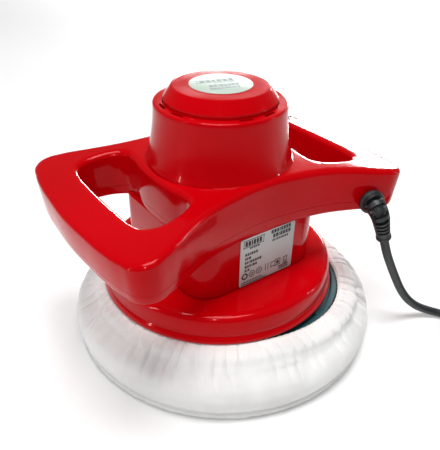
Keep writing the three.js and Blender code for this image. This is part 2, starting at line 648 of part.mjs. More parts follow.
// ---- mains cord: down to the floor, away to the side, and wound in a neat coil ----
const cordRoute = [
  [90.6, -94, 90.6], [95.4, -96.2, 76.4], [102, -98.4, 62], [109.4, -100.2, 48.2], [117, -103, 34],
  [126.5, -106.6, 20.8], [137.4, -111.2, 11], [148.4, -118, 5.4], [157, -127.4, 3.6],
  [161.7, -138.4, 3.6], [163.5, -150, 3.6],
];

const coil = new THREE.Group();
coil.position.set(CORD.coilX, CORD.coilY, 0);
polisher.add(coil);
const coilInner = CORD.turn - CORD.coilWide;
const coilOuter = CORD.turn + CORD.coilWide;
const coilRing = (spare) => turned([
  [coilInner, 2], [coilInner + 2, 0.1], [coilOuter + spare - 2, 0.1], [coilOuter + spare, 2],
  [coilOuter + spare, CORD.coilTop - 2], [coilOuter + spare - 2, CORD.coilTop],
  [coilInner + 2, CORD.coilTop], [coilInner, CORD.coilTop - 2],
]);
piece("cord_coil", coilRing(0), MATERIAL.rubber, coil);
// The tube ends where it runs into the outside of the coil.
piece("power_cord", cut(
  toSolid(tube(cordRoute, CORD.radius, { sides: 10, steps: 24 })),
  moved(coilRing(GAP), CORD.coilX, CORD.coilY),
), MATERIAL.rubber);
piece("cord_tail", tube([
  [14, -43.5, 18.4], [22, -37.6, 19.4], [27.8, -29.6, 20.8], [29.8, -23, 21.6], [30, -18.4, PLUG.axisZ],
], CORD.radius, { sides: 8, steps: 5 }), MATERIAL.rubber, coil);
function coilTie() {
  const wide = 2 * CORD.coilWide;
  const outer = moved(block(wide + 2.4, 9, CORD.coilTop + 1, 0.2), -CORD.turn, 0);
  const inner = moved(block(wide + 0.8, 12, CORD.coilTop + 0.2, 0), -CORD.turn, 0);
  return cut(toSolid(outer), inner).rotate([0, 0, -60]);
}
piece("coil_tie", coilTie(), MATERIAL.black, coil);

// The plug lies across the coil with its pins out over the edge.
const plug = new THREE.Group();
plug.position.set(30, 0, PLUG.axisZ);
coil.add(plug);
const plugTail = -18;
const plugFace = 38;
function plugBody() {
  const outline = new THREE.Shape();
  outline.moveTo(-PLUG.halfWide, plugFace);
  outline.lineTo(-PLUG.halfWide, plugFace - 20);
  outline.quadraticCurveTo(-PLUG.halfWide, 6, -6, 2);
  outline.lineTo(-4.6, plugTail);
  outline.lineTo(4.6, plugTail);
  outline.lineTo(6, 2);
  outline.quadraticCurveTo(PLUG.halfWide, 6, PLUG.halfWide, plugFace - 20);
  outline.lineTo(PLUG.halfWide, plugFace);
  const body = new THREE.ExtrudeGeometry(outline, {
    depth: 2 * PLUG.halfThick - 4, bevelThickness: 2, bevelSize: 1.6, bevelOffset: -1.6,
    bevelSegments: 1, curveSegments: 5,
  });
  return body.translate(0, 0, -PLUG.halfThick + 2);
}
piece("plug_body", plugBody(), MATERIAL.rubber, plug);
for (const [name, x] of [["plug_pin_left", -PLUG.pinGap], ["plug_pin_right", PLUG.pinGap]]) {
  const pin = turned([[0, 0], [PLUG.pin, 0], [PLUG.pin, 17.5], [1, 19], [0, 19]], 12);
  piece(name, moved(pin.rotateX(-Math.PI / 2), x, plugFace + GAP), MATERIAL.brass, plug);
}

export default polisher;
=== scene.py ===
import math

import bpy
from mathutils import Matrix, Quaternion, Vector, noise


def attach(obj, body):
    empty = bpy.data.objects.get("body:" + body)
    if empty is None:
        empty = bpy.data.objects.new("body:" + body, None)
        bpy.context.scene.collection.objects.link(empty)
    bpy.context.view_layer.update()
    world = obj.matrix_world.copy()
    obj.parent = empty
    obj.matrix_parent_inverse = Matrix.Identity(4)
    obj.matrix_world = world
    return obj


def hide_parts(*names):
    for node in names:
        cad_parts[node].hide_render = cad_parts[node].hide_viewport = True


# Orbital polisher: two loop handles on a motor tower, a round skirt, a foam pad in a cotton bonnet.
# Sizes in the dictionaries are millimetres; everything that is made is in metres.
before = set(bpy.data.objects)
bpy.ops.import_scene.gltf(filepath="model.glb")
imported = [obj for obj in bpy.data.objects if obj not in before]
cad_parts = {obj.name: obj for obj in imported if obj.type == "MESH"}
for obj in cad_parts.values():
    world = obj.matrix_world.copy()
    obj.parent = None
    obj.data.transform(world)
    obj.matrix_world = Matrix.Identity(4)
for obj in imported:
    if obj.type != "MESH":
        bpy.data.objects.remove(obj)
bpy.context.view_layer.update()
scene = bpy.context.scene
mm = 0.001


# the camera stands in front of the left handle
cameraSetup = {
    "azimuth": -36.0, "elevation": 32.34, "distance": 0.4336, "lookAt": (0, 0, 0.0855),
    "lens": 42.5, "roll": 1.13, "shift": 0.0042,
}


def placeCamera(setup):
    azimuth = math.radians(setup["azimuth"])
    elevation = math.radians(setup["elevation"])
    roll = math.radians(setup["roll"])
    level = Vector((math.cos(azimuth), math.sin(azimuth), 0))
    away = Vector((math.sin(azimuth), -math.cos(azimuth), 0))
    back = away * math.cos(elevation) + Vector((0, 0, math.sin(elevation)))
    upright = back.cross(level)
    right = level * math.cos(roll) + upright * math.sin(roll)
    up = upright * math.cos(roll) - level * math.sin(roll)
    spot = Vector(setup["lookAt"]) + back * setup["distance"]
    bpy.ops.object.camera_add(location=spot)
    camera = bpy.context.object
    camera.matrix_world = Matrix.Translation(spot) @ Matrix((right, up, back)).transposed().to_4x4()
    camera.data.lens = setup["lens"]
    camera.data.sensor_width = 36
    camera.data.shift_x = setup["shift"]
    camera.data.clip_start = 0.01
    scene.camera = camera


placeCamera(cameraSetup)
print("camera placed")


# tools for shaping pieces
def clearSelection():
    if bpy.context.mode != "OBJECT":
        bpy.ops.object.mode_set(mode="OBJECT")
    bpy.ops.object.select_all(action="DESELECT")


def pick(piece):
    clearSelection()
    piece.select_set(True)
    bpy.context.view_layer.objects.active = piece
    return piece


def openForEdit(piece):
    pick(piece)
    bpy.ops.object.mode_set(mode="EDIT")
    bpy.ops.mesh.select_mode(type="FACE")
    bpy.ops.mesh.select_all(action="SELECT")


def shut():
    bpy.ops.object.mode_set(mode="OBJECT")


def name(piece, title):
    piece.name = title
    piece.data.name = title
    return piece


def tidyMesh(piece, gap=2e-5):
    openForEdit(piece)
    bpy.ops.mesh.remove_doubles(threshold=gap)
    bpy.ops.mesh.normals_make_consistent(inside=False)
    shut()


def settlePlace(piece):
    pick(piece)
    bpy.ops.object.transform_apply(location=True, rotation=True, scale=True)


def applyModifier(piece, kind, **settings):
    pick(piece)
    modifier = piece.modifiers.new(kind.lower(), kind)
    for key, value in settings.items():
        setattr(modifier, key, value)
    bpy.ops.object.modifier_apply(modifier=modifier.name)


def roundEdges(piece, width, segments=3, angle=28):
    applyModifier(
        piece, "BEVEL", width=width * mm, segments=segments, limit_method="ANGLE",
        angle_limit=math.radians(angle), use_clamp_overlap=True, miter_outer="MITER_ARC",
    )


def combine(piece, tool, how="DIFFERENCE"):
    applyModifier(piece, "BOOLEAN", object=tool, operation=how, solver="MANIFOLD")
    bpy.data.objects.remove(tool)


def joinAll(pieces, title):
    clearSelection()
    for piece in pieces:
        piece.select_set(True)
    bpy.context.view_layer.objects.active = pieces[0]
    bpy.ops.object.join()
    return name(bpy.context.object, title)


def smoothOver(piece, angle=34):
    pick(piece)
    bpy.ops.object.shade_smooth_by_angle(angle=math.radians(angle))


def removeFaces(piece, wanted):
    # the faces that wanted(centre in mm, normal) says yes to
    openForEdit(piece)
    bpy.ops.mesh.select_all(action="DESELECT")
    shut()
    for face in piece.data.polygons:
        face.select = wanted(face.center / mm, face.normal)
    bpy.ops.object.mode_set(mode="EDIT")
    bpy.ops.mesh.delete(type="FACE")
    shut()


def moveEach(piece, where):
    # every vertex goes where its place in mm says
    for vertex in piece.data.vertices:
        vertex.co = Vector(where(*(vertex.co / mm))) * mm
    piece.data.update()


def fromMesh(title, points, edges=(), faces=()):
    mesh = bpy.data.meshes.new(title)
    mesh.from_pydata([Vector(p) * mm for p in points], list(edges), list(faces))
    piece = bpy.data.objects.new(title, mesh)
    scene.collection.objects.link(piece)
    return piece


def turn(title, profile, steps=128, centre=(0, 0)):
    # radius and height pairs laid as a loop and spun about the upright through centre
    loop = [(r + centre[0], centre[1], z) for r, z in profile]
    count = len(loop)
    closed = profile[0][0] > 0 or profile[-1][0] > 0
    edges = [(i, i + 1) for i in range(count - 1)] + ([(count - 1, 0)] if closed else [])
    piece = fromMesh(title, loop, edges)
    pick(piece)
    bpy.ops.object.mode_set(mode="EDIT")
    bpy.ops.mesh.select_all(action="SELECT")
    middle = (centre[0] * mm, centre[1] * mm, 0)
    bpy.ops.mesh.spin(steps=steps, angle=2 * math.pi, center=middle, axis=(0, 0, 1))
    shut()
    tidyMesh(piece, 1e-6)
    return piece


def rod(x, y, radius, low, high, sides=32):
    clearSelection()
    bpy.ops.mesh.primitive_cylinder_add(
        vertices=sides, radius=radius * mm, depth=(high - low) * mm,
        location=(x * mm, y * mm, (low + high) / 2 * mm),
    )
    settlePlace(bpy.context.object)
    return bpy.context.object


def bar(middle, size, spin=(0, 0, 0), edge=0.0, segments=2):
    clearSelection()
    bpy.ops.mesh.primitive_cube_add(size=1, location=Vector(middle) * mm)
    piece = bpy.context.object
    piece.scale = Vector(size) * mm
    piece.rotation_euler = [math.radians(angle) for angle in spin]
    settlePlace(piece)
    if edge:
        roundEdges(piece, edge, segments)
    return piece


def ease(low, high, value):
    # 0 below low, 1 above high, and a soft rise between them
    share = min(max((value - low) / (high - low), 0), 1)
    return share * share * (3 - 2 * share)


def smoothPath(points, count):
    # evenly spaced points on a smooth curve through the given ones
    fine = []
    ends = [2 * Vector(points[0]) - Vector(points[1])] + [Vector(p) for p in points]
    ends.append(2 * ends[-1] - ends[-2])
    for i in range(1, len(ends) - 2):
        a, b, c, d = ends[i - 1:i + 3]
        for k in range(24):
            t = k / 24
            fine.append(0.5 * (2 * b + (c - a) * t + (2 * a - 5 * b + 4 * c - d) * t * t
                               + (3 * b - a - 3 * c + d) * t ** 3))
    fine.append(ends[-2])
    walked = [0.0]
    for before, after in zip(fine, fine[1:]):
        walked.append(walked[-1] + (after - before).length)
    spaced, k = [], 0
    for i in range(count):
        want = walked[-1] * i / (count - 1)
        while k < len(walked) - 2 and walked[k + 1] < want:
            k += 1
        share = (want - walked[k]) / max(walked[k + 1] - walked[k], 1e-9)
        spaced.append(fine[k].lerp(fine[k + 1], min(max(share, 0), 1)))
    return spaced, walked[-1]


# finishes, each with its own wear and grain
def linear(colour):
    return tuple(c / 12.92 if c <= 0.04045 else ((c + 0.055) / 1.055) ** 2.4
                 for c in (part / 255 for part in colour))


def newFinish(title, colour, roughness, **sockets):
    finish = bpy.data.materials.new(title)
    finish.use_nodes = True
    shader = finish.node_tree.nodes["Principled BSDF"]
    shader.inputs["Base Color"].default_value = (*linear(colour), 1)
    shader.inputs["Roughness"].default_value = roughness
    for socket, value in sockets.items():
        shader.inputs[socket.replace("_", " ")].default_value = value
    finish.diffuse_color = (*linear(colour), 1)
    return finish


def place(finish, scale=(1, 1, 1), uvName=None):
    nodes, links = finish.node_tree.nodes, finish.node_tree.links
    mapping = nodes.new("ShaderNodeMapping")
    mapping.inputs["Scale"].default_value = scale
    if uvName:
        source = nodes.new("ShaderNodeUVMap")
        source.uv_map = uvName
        links.new(source.outputs["UV"], mapping.inputs["Vector"])
    else:
        source = nodes.new("ShaderNodeTexCoord")
        links.new(source.outputs["Object"], mapping.inputs["Vector"])
    return mapping.outputs["Vector"]


def cloudy(finish, scale, detail=3.0, stretch=(1, 1, 1)):
    nodes, links = finish.node_tree.nodes, finish.node_tree.links
    cloud = nodes.new("ShaderNodeTexNoise")
    cloud.inputs["Scale"].default_value = scale
    cloud.inputs["Detail"].default_value = detail
    links.new(place(finish, stretch), cloud.inputs["Vector"])
    return cloud.outputs["Fac"]


def shadeRange(finish, source, darker, lighter, low=0.35, high=0.65):
    # base colour that drifts between two tones
    nodes, links = finish.node_tree.nodes, finish.node_tree.links
    ramp = nodes.new("ShaderNodeValToRGB")
    ramp.color_ramp.elements[0].position = low
    ramp.color_ramp.elements[1].position = high
    ramp.color_ramp.elements[0].color = (*linear(darker), 1)
    ramp.color_ramp.elements[1].color = (*linear(lighter), 1)
    links.new(source, ramp.inputs["Fac"])
    links.new(ramp.outputs["Color"], nodes["Principled BSDF"].inputs["Base Color"])


def roughRange(finish, source, low, high):
    nodes, links = finish.node_tree.nodes, finish.node_tree.links
    spread = nodes.new("ShaderNodeMapRange")
    spread.inputs["From Min"].default_value = 0.3
    spread.inputs["From Max"].default_value = 0.7
    spread.inputs["To Min"].default_value = low
    spread.inputs["To Max"].default_value = high
    links.new(source, spread.inputs["Value"])
    links.new(spread.outputs["Result"], nodes["Principled BSDF"].inputs["Roughness"])


def relief(finish, source, distance, strength=1.0):
    # raises the surface by a texture; a second call stacks on the first
    nodes, links = finish.node_tree.nodes, finish.node_tree.links
    bump = nodes.new("ShaderNodeBump")
    bump.inputs["Distance"].default_value = distance
    bump.inputs["Strength"].default_value = strength
    links.new(source, bump.inputs["Height"])
    normal = nodes["Principled BSDF"].inputs["Normal"]
    if normal.is_linked:
        links.new(normal.links[0].from_socket, bump.inputs["Normal"])
    links.new(bump.outputs["Normal"], normal)


def mouldedFinish(title, colour, darker, roughness, spread, grainScale, grainDepth, **sockets):
    finish = newFinish(title, colour, roughness, **sockets)
    shadeRange(finish, cloudy(finish, 16), darker, colour)
    roughRange(finish, cloudy(finish, 55, 4), roughness - spread, roughness + spread)
    relief(finish, cloudy(finish, grainScale, 2), grainDepth)
    return finish


def glossRed():
    finish = newFinish("gloss_red_plastic", (184, 0, 8), 0.14, Coat_Weight=0.15, Coat_Roughness=0.03,
                       Specular_Tint=(1, 0.15, 0.17, 1))
    finish.node_tree.nodes["Principled BSDF"].inputs["Specular IOR Level"].default_value = 0.15
    shadeRange(finish, cloudy(finish, 9), (178, 0, 6), (190, 0, 12), 0.3, 0.7)
    roughRange(finish, cloudy(finish, 38, 5), 0.09, 0.2)
    relief(finish, cloudy(finish, 700, 2), 0.00002, 0.25)
    # fine wiping scratches, long and thin
    relief(finish, cloudy(finish, 90, 6, (1, 9, 4)), 0.00001, 0.3)
    return finish


def ribbedMetal(title, colour, darker, roughness):
    finish = newFinish(title, colour, roughness, Metallic=1.0)
    shadeRange(finish, cloudy(finish, 60, 4), darker, colour)
    roughRange(finish, cloudy(finish, 220, 4, (1, 1, 8)), roughness - 0.08, roughness + 0.1)
    relief(finish, cloudy(finish, 500, 3, (1, 1, 6)), 0.00002, 0.4)
    return finish


def weave(finish, uvName, threadsPerMetre):
    # two sets of threads, over and under
    nodes, links = finish.node_tree.nodes, finish.node_tree.links
    height = []
    for direction in ("X", "Y"):
        threads = nodes.new("ShaderNodeTexWave")
        threads.bands_direction = direction
        threads.inputs["Scale"].default_value = threadsPerMetre / 3.14159
        threads.inputs["Distortion"].default_value = 1.2
        threads.inputs["Detail"].default_value = 1.0
        links.new(place(finish, uvName=uvName), threads.inputs["Vector"])
        height.append(threads.outputs["Fac"])
    both = nodes.new("ShaderNodeMath")
    both.operation = "MULTIPLY"
    links.new(height[0], both.inputs[0])
    links.new(height[1], both.inputs[1])
    return both.outputs["Value"]


def cottonFinish(title, uvName=None, fuzz=0.0002):
    finish = newFinish(title, (232, 232, 230), 0.92, Sheen_Weight=0.25, Sheen_Roughness=0.5)
    finish.node_tree.nodes["Principled BSDF"].inputs["Specular IOR Level"].default_value = 0.2
    shadeRange(finish, cloudy(finish, 26, 4), (222, 222, 221), (238, 238, 236), 0.3, 0.7)
    roughRange(finish, cloudy(finish, 300, 2), 0.86, 0.97)
    if uvName:
        relief(finish, weave(finish, uvName, 1400), 0.00012, 0.5)
    relief(finish, cloudy(finish, 900, 3), fuzz, 0.5)
    return finish


red = glossRed()
blackRubber = mouldedFinish("cord_rubber", (16, 27, 30), (10, 18, 21), 0.48, 0.08, 900, 0.00006)
blackRubber.node_tree.nodes["Principled BSDF"].inputs["Specular IOR Level"].default_value = 0.6
blackPlastic = mouldedFinish("black_moulding", (26, 29, 32), (18, 20, 23), 0.4, 0.1, 1200, 0.00008)
slate = mouldedFinish("slate_plastic", (26, 74, 80), (18, 60, 66), 0.5, 0.1, 800, 0.00005)
labelSilver = mouldedFinish("label_silver", (186, 189, 188), (176, 179, 178), 0.42, 0.06, 500, 0.00001)
badgeSilver = mouldedFinish("badge_silver", (186, 200, 189), (176, 190, 180), 0.55, 0.06, 500, 0.00001)
labelInk = mouldedFinish("label_ink", (28, 28, 30), (20, 20, 22), 0.5, 0.05, 600, 0.00001)
badgeInk = mouldedFinish("badge_ink", (52, 88, 84), (40, 72, 70), 0.5, 0.05, 600, 0.00001)
zinc = ribbedMetal("zinc_steel", (190, 192, 196), (160, 163, 168), 0.32)
steel = ribbedMetal("ground_steel", (165, 168, 172), (140, 143, 148), 0.28)
castIron = ribbedMetal("cast_iron", (84, 86, 90), (62, 64, 68), 0.55)
copperWire = ribbedMetal("copper_wire", (186, 104, 62), (150, 78, 44), 0.35)
brass = ribbedMetal("brass", (196, 160, 88), (170, 134, 68), 0.28)
magnetGrey = mouldedFinish("ferrite", (48, 49, 52), (38, 39, 42), 0.7, 0.1, 300, 0.0001)
circuitBoard = mouldedFinish("circuit_board", (30, 94, 60), (22, 74, 47), 0.45, 0.1, 400, 0.00004)
carbon = mouldedFinish("carbon", (34, 34, 36), (24, 24, 26), 0.75, 0.1, 600, 0.00006)
print("finishes mixed")


def dress(piece, finish, body, replaced=(), angle=34):
    piece.data.materials.clear()
    piece.data.materials.append(finish)
    if angle:
        smoothOver(piece, angle)
    if replaced:
        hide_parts(*replaced)
    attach(piece, body)
    return piece


# the mains cord and its coil
cordShape = {
    "diameter": 7, "tip": (90.4, -94, 91.2),
    "drop": [
        (89.6, -93.9, 93.4), (90.6, -94, 90.6), (95.4, -96.2, 76.4), (102, -98.4, 62),
        (109.4, -100.2, 48.2), (117, -103, 34), (126.5, -106.6, 20.8), (137.4, -111.2, 11),
        (148.4, -118, 5.4), (157, -127.4, 3.6), (161.7, -138.4, 3.6), (163.5, -150, 3.6),
    ],
    "coilCentre": (210.5, -165), "turnRadii": (47, 40, 33), "layers": (3.6, 10.7),
    "climb": (2.6, 2.8), "stepOut": 0.2, "turns": 5.25, "perTurn": 16,
    "tail": [(14, -43.5, 13), (22, -37.6, 16.4), (27.8, -29.6, 19.8), (29.8, -23, 21.3), (30, -17.4, 21.8)],
}


def coilPlace(t):
    # radius and height of the wound cord after t turns
    outer, middle, inner = cordShape["turnRadii"]
    low, high = cordShape["layers"]
    start, end = cordShape["climb"]
    step = cordShape["stepOut"]
    radius = outer + (middle - outer) * ease(1 - step, 1, t) + (inner - middle) * ease(2 - step, 2, t)
    radius += (middle - inner) * ease(start + 1 - step, start + 1, t)
    radius += (outer - middle) * ease(start + 2 - step, start + 2, t)
    return radius, low + (high - low) * ease(start, end, t)


def cordRoute():
    shape = cordShape
    points = list(shape["drop"])
    count = int(shape["turns"] * shape["perTurn"])
    cx, cy = shape["coilCentre"]
    for i in range(count + 1):
        t = shape["turns"] * i / count
        radius, height = coilPlace(t)
        angle = math.pi + 2 * math.pi * t
        points.append((cx + radius * math.cos(angle), cy + radius * math.sin(angle), height))
    points += [(cx + x, cy + y, z) for x, y, z in shape["tail"]]
    return points


def routeLength(points):
    return sum((Vector(b) - Vector(a)).length for a, b in zip(points, points[1:])) * mm


def makeCord():
    spaced, _ = smoothPath(cordRoute(), 420)
    curve = bpy.data.curves.new("power_cord_run", "CURVE")
    curve.dimensions = "3D"
    curve.bevel_depth = cordShape["diameter"] / 2 * mm
    curve.bevel_resolution = 5
    curve.use_fill_caps = True
    spline = curve.splines.new("POLY")
    spline.points.add(len(spaced) - 1)
    for point, spot in zip(spline.points, spaced):
        point.co = (*(spot * mm), 1)
    spline.use_smooth = True
    cord = bpy.data.objects.new("mains_cord", curve)
    scene.collection.objects.link(cord)
    cord.data.materials.append(blackRubber)
    return cord, routeLength(spaced)


mainsCord, cordLength = makeCord()
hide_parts("power_cord", "cord_coil", "cord_tail")
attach(mainsCord, "housing")
print("cord laid, metres:", round(cordLength, 3))


# the two halves of the housing
bodyShape = {
    "outline": [
        (0, 58.5), (28, 60.8), (52, 65), (74, 73), (92, 81), (106, 84),
        (115, 79), (119.5, 67), (122.5, 51), (124.5, 28), (125.8, 0),
    ],
    "opening": [
        (59, 0), (58, 20), (55.5, 36), (56.5, 45), (63, 50),
        (74, 53.2), (85, 53.4), (92, 49.5), (95.5, 40), (96.7, 22), (97.2, 0),
    ],
    "top": 150, "bottom": 110.5, "droop": 12.5, "reach": 124, "draft": 0.022,
    "wall": 2.6, "upperEdge": 4.6, "lowerEdge": 1.6, "upperFrom": 119.15, "lowerTo": 118.9, "strips": 7,
}
towerShape = {
    "base": 54.7, "rim": 48.4, "baseZ": 150.4, "rimZ": 191.3, "mouth": 41.6,
    "ventR": 43.35, "ventWide": 2.1, "ventLong": 10.6, "ventOff": 13,
}
neckShape = {"halfX": 58, "halfY": 57.3, "corner": 21, "bottom": 67.5, "edge": 1.2}
fixings = {
    "handle": (98, 66), "handleSeat": 116, "bracket": (40, 36), "skirtR": 46,
    "skirtTurns": (30, 150, 270), "clamp": (72, -62.3), "clampApart": 4.2,
}
switchShape = {"x": 105, "y": 57, "tilt": 9.7, "halfX": 6.4, "halfY": 12.4}
glandShape = {"seat": (85, -78.3, 119.5), "out": (-0.38, -0.925, 0), "hole": 5.7}
fourCorners = [(1, 1), (-1, 1), (-1, -1), (1, -1)]


def skirtSpots():
    # where the three skirt screws stand
    turns = [math.radians(a) for a in fixings["skirtTurns"]]
    return [(fixings["skirtR"] * math.cos(a), fixings["skirtR"] * math.sin(a)) for a in turns]


def mirroredRound(quarter):
    back = quarter[::-1]
    return (quarter + [(x, -y) for x, y in back[1:]] + [(-x, -y) for x, y in quarter[1:]]
            + [(-x, y) for x, y in back[1:-1]])


def mirroredOpening(half, side):
    loop = half + [(x, -y) for x, y in half[-2:0:-1]]
    return [(side * x, y) for x, y in loop]


def clockwise(loop, wanted=True):
    area = sum(a[0] * b[1] - b[0] * a[1] for a, b in zip(loop, loop[1:] + loop[:1]))
    return loop if (area < 0) == wanted else loop[::-1]


def flatSlab(title, loops, low, high, edge, handles="AUTO"):
    # a filled outline, with openings after the first loop, given a height and rounded edges
    curve = bpy.data.curves.new(title, "CURVE")
    curve.dimensions = "2D"
    curve.fill_mode = "BOTH"
    curve.bevel_depth = edge * mm
    curve.bevel_resolution = 3
    curve.offset = -edge * mm
    curve.extrude = ((high - low) / 2 - edge) * mm
    for number, loop in enumerate(loops):
        loop = clockwise(loop, number == 0)
        spline = curve.splines.new("BEZIER")
        spline.bezier_points.add(len(loop) - 1)
        for point, (x, y) in zip(spline.bezier_points, loop):
            point.co = (x * mm, y * mm, 0)
            point.handle_left_type = point.handle_right_type = handles
        spline.use_cyclic_u = True
        spline.resolution_u = 7 if handles == "AUTO" else 1
    slab = bpy.data.objects.new(title, curve)
    scene.collection.objects.link(slab)
    pick(slab)
    bpy.ops.object.convert(target="MESH")
    slab = bpy.context.object
    slab.location.z = (low + high) / 2 * mm
    settlePlace(slab)
    tidyMesh(slab)
    return slab


def topHeight(x):
    return bodyShape["top"] - bodyShape["droop"] * (x / bodyShape["reach"]) ** 2


def handleSlab(title, low, high, edge):
    shape = bodyShape
    loops = [mirroredRound(shape["outline"])] + [mirroredOpening(shape["opening"], s) for s in (1, -1)]
    slab = flatSlab(title, loops, low, high, edge)
    openForEdit(slab)
    for x in range(-119, 120, shape["strips"]):
        bpy.ops.mesh.select_all(action="SELECT")
        bpy.ops.mesh.bisect(plane_co=(x * mm, 0, 0), plane_no=(1, 0, 0))
    shut()
    return slab


def bendToDroop(slab):
    shape = bodyShape
    high = shape["top"] - shape["bottom"]

    def where(x, y, z):
        share = (z - shape["bottom"]) / high
        inward = 1 - shape["draft"] * (1 - min(share, 1))
        return x * inward, y * inward, shape["bottom"] + share * (topHeight(x) - shape["bottom"])

    moveEach(slab, where)


def cutLevel(piece, height, keepAbove):
    openForEdit(piece)
    bpy.ops.mesh.bisect(
        plane_co=(0, 0, height * mm), plane_no=(0, 0, 1), use_fill=True,
        clear_inner=keepAbove, clear_outer=not keepAbove,
    )
    shut()


def towerSolid():
    shape = towerShape
    rise = shape["rimZ"] - shape["baseZ"]
    profile = [(0, 143), (55.4, 143), (55.4, 149)]
    for step in range(0, 15):
        z = shape["baseZ"] + (rise - 1.2) * step / 14
        r = shape["rim"] + (shape["base"] - shape["rim"]) * ((shape["rimZ"] - z) / rise) ** 2
        profile.append((r, z))
    profile += [
        (shape["rim"] - 0.25, shape["rimZ"] - 0.6), (shape["rim"] - 0.9, shape["rimZ"] - 0.12),
        (shape["rim"] - 1.6, shape["rimZ"]), (shape["mouth"], shape["rimZ"]), (0, shape["rimZ"]),
    ]
    return turn("tower", profile, 144)


def glandCutter():
    hole = rod(0, 0, glandShape["hole"], -8, 8)
    aim = Vector(glandShape["out"]).normalized().to_track_quat("Z", "Y")
    hole.matrix_world = Matrix.Translation(Vector(glandShape["seat"]) * mm) @ aim.to_matrix().to_4x4()
    settlePlace(hole)
    return hole


def switchCutter():
    shape = switchShape
    size = (2 * shape["halfX"] + 0.6, 2 * shape["halfY"] + 0.6, 40)
    return bar((shape["x"], shape["y"], topHeight(shape["x"])), size, (0, shape["tilt"], 0))


def upperHousing():
    shell = handleSlab("upper_shell", 100, bodyShape["top"], bodyShape["upperEdge"])
    cutLevel(shell, bodyShape["upperFrom"], True)
    bendToDroop(shell)
    combine(shell, towerSolid(), "UNION")
    mouth = towerShape["mouth"]
    removeFaces(shell, lambda c, n: n.z < -0.9 and c.z < 122)
    removeFaces(shell, lambda c, n: math.hypot(c.x, c.y) < mouth and c.z > 191)
    applyModifier(shell, "SOLIDIFY", thickness=bodyShape["wall"] * mm, offset=-1)
    x0, y0 = fixings["handle"]
    bosses = [rod(sx * x0, sy * y0, 5, 119.6, 140.4) for sx, sy in fourCorners]
    combine(shell, joinAll(bosses, "bosses"), "UNION")
    cutters = [rod(sx * x0, sy * y0, 2.3, 110, 128, 20) for sx, sy in fourCorners]
    shape = towerShape
    for quarter in range(4):
        for side in (-1, 1):
            turnBy = 90 * quarter + side * shape["ventOff"]
            a = math.radians(turnBy)
            middle = (shape["ventR"] * math.cos(a), shape["ventR"] * math.sin(a), shape["rimZ"])
            cutters.append(bar(middle, (shape["ventWide"], shape["ventLong"], 9), (0, 0, turnBy), 0.8))
    cutters += [glandCutter(), switchCutter()]
    combine(shell, joinAll(cutters, "upper_cutters"))
    tidyMesh(shell, 5e-6)
    return dress(shell, red, "housing", ["upper_housing"])


def roundedBox(halfX, halfY, corner, steps=12):
    loop = []
    for quarter, (sx, sy) in enumerate(fourCorners):
        for step in range(steps + 1):
            a = math.radians(90 * (quarter + step / steps))
            x = sx * (halfX - corner) + corner * math.cos(a)
            y = sy * (halfY - corner) + corner * math.sin(a)
            loop.append((x, y))
    return loop


def lowerHousing():
    shell = handleSlab("lower_shell", bodyShape["bottom"], 132, bodyShape["lowerEdge"])
    cutLevel(shell, bodyShape["lowerTo"], False)
    bendToDroop(shell)
    shape = neckShape
    neckLoop = roundedBox(shape["halfX"], shape["halfY"], shape["corner"])
    neck = flatSlab("neck", [neckLoop], shape["bottom"], 114, shape["edge"], "VECTOR")
    combine(shell, neck, "UNION")
    removeFaces(shell, lambda c, n: n.z > 0.9 and c.z > 115)
    applyModifier(shell, "SOLIDIFY", thickness=bodyShape["wall"] * mm, offset=-1)
    x0, y0 = fixings["handle"]
    bx, by = fixings["bracket"]
    cx, cy = fixings["clamp"]
    clampSpots = [(cx, cy + side * fixings["clampApart"]) for side in (-1, 1)]
    posts = [rod(sx * x0, sy * y0, 6.2, 111.2, 119) for sx, sy in fourCorners]
    posts += [rod(sx * bx, sy * by, 5, 68.6, 79.7, 20) for sx, sy in fourCorners]
    posts += [rod(x, y, 4.6, 68.6, 77.5, 20) for x, y in skirtSpots()]
    posts += [rod(x, y, 2.2, 111.5, 118, 16) for x, y in clampSpots]
    combine(shell, joinAll(posts, "posts"), "UNION")
    recesses = [rod(sx * x0, sy * y0, 4.4, 105, fixings["handleSeat"]) for sx, sy in fourCorners]
    combine(shell, joinAll(recesses, "recesses"))
    bores = [rod(sx * x0, sy * y0, 2.3, 105, 124, 20) for sx, sy in fourCorners]
    bores += [rod(sx * bx, sy * by, 2.3, 70.5, 82, 16) for sx, sy in fourCorners]
    combine(shell, joinAll(bores, "screw_bores"))
    more = [rod(x, y, 2.3, 64, 75.8, 16) for x, y in skirtSpots()]
    more += [rod(x, y, 1.5, 113.4, 120, 12) for x, y in clampSpots]
    more += [rod(0, 0, 10, 60, 74), rod(0, 0, 38.4, 69.1, 72, 64), glandCutter()]
    combine(shell, joinAll(more, "lower_cutters"))
    tidyMesh(shell, 5e-6)
    return dress(shell, red, "housing", ["lower_housing"])


upperHousing()
print("upper housing made")
lowerHousing()
print("lower housing made")


